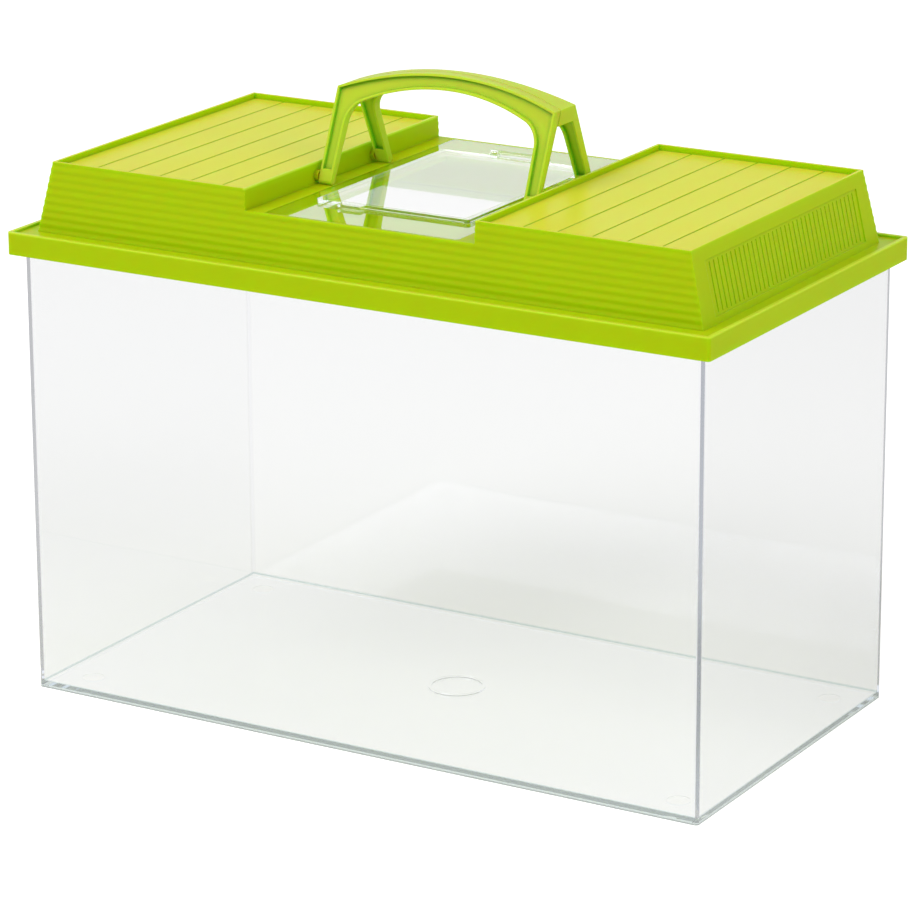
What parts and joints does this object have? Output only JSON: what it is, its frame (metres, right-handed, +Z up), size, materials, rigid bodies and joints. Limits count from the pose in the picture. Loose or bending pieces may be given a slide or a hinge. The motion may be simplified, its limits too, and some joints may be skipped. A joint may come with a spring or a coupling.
{
  "type": "plastic pet keeper",
  "caption": "Clear rectangular pet keeper tank with a lift-off vented lid, a clear hinged feeding hatch and a split folding carry handle.",
  "frame": {"origin": "bottom centre of the tank, on the surface that it stands on", "axes": "+Z up, +X along the long side to the right, -Y towards the front long wall"},
  "size_m": [0.3096, 0.168, 0.2541],
  "materials": {
    "tank_clear": "clear moulded polystyrene, polished inside and out",
    "lid_green": "lime green moulded plastic with a soft sheen",
    "window_clear": "clear moulded plastic, glossy",
    "hatch_clear": "clear moulded plastic, glossy",
    "handle_green": "lime green moulded plastic with a soft sheen"
  },
  "bodies": {
    "tank": {"tank": "tank_clear"},
    "lid": {"lid": "lid_green", "window_plate": "window_clear"},
    "hatch": {"hatch": "hatch_clear"},
    "front_bail": {"front_bail": "handle_green"},
    "rear_bail": {"rear_bail": "handle_green"}
  },
  "joints": [
    {"name": "lid_lift", "type": "slide", "parent": "tank", "child": "lid", "axis": [0, 0, 1], "range_m": [0, 0.08]},
    {"name": "hatch_hinge", "type": "hinge", "parent": "lid", "child": "hatch", "pos_m": [0, 0.0503, 0.21065], "axis": [-1, 0, 0], "range_deg": [0, 24]},
    {"name": "front_bail_fold", "type": "hinge", "parent": "lid", "child": "front_bail", "pos_m": [0, -0.0209, 0.2121], "axis": [1, 0, 0], "range_deg": [0, 110]},
    {"name": "rear_bail_fold", "type": "hinge", "parent": "lid", "child": "rear_bail", "pos_m": [0, 0.0209, 0.2121], "axis": [-1, 0, 0], "range_deg": [0, 110]}
  ]
}
